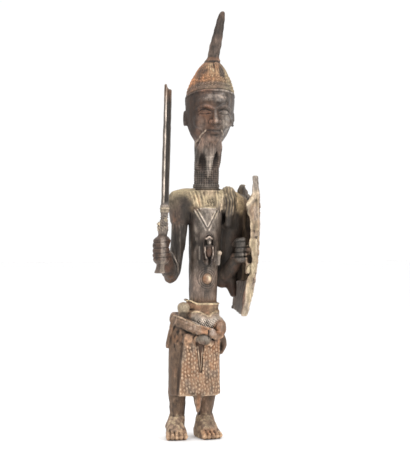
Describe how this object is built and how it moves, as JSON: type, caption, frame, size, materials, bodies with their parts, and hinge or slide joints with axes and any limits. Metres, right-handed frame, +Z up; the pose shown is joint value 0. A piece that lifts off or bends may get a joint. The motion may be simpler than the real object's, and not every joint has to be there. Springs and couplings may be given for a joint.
{
  "type": "carved wooden warrior figure",
  "caption": "Standing carved wooden warrior with tall hair crest and split beard, raised sword, bowed shield, rolled belt and spotted pelt skirt, on flat bare soles.",
  "frame": {"origin": "middle of the plan box on the surface the soles stand on", "axes": "+Z up along the body, the figure faces -Y, sword hand at -X, shield at +X"},
  "size_m": [0.1858, 0.1042, 0.7],
  "materials": {
    "wood": "dark handled carved wood with dusty and ochre patina"
  },
  "bodies": {
    "root": {"carved_figure": "wood"}
  },
  "joints": []
}
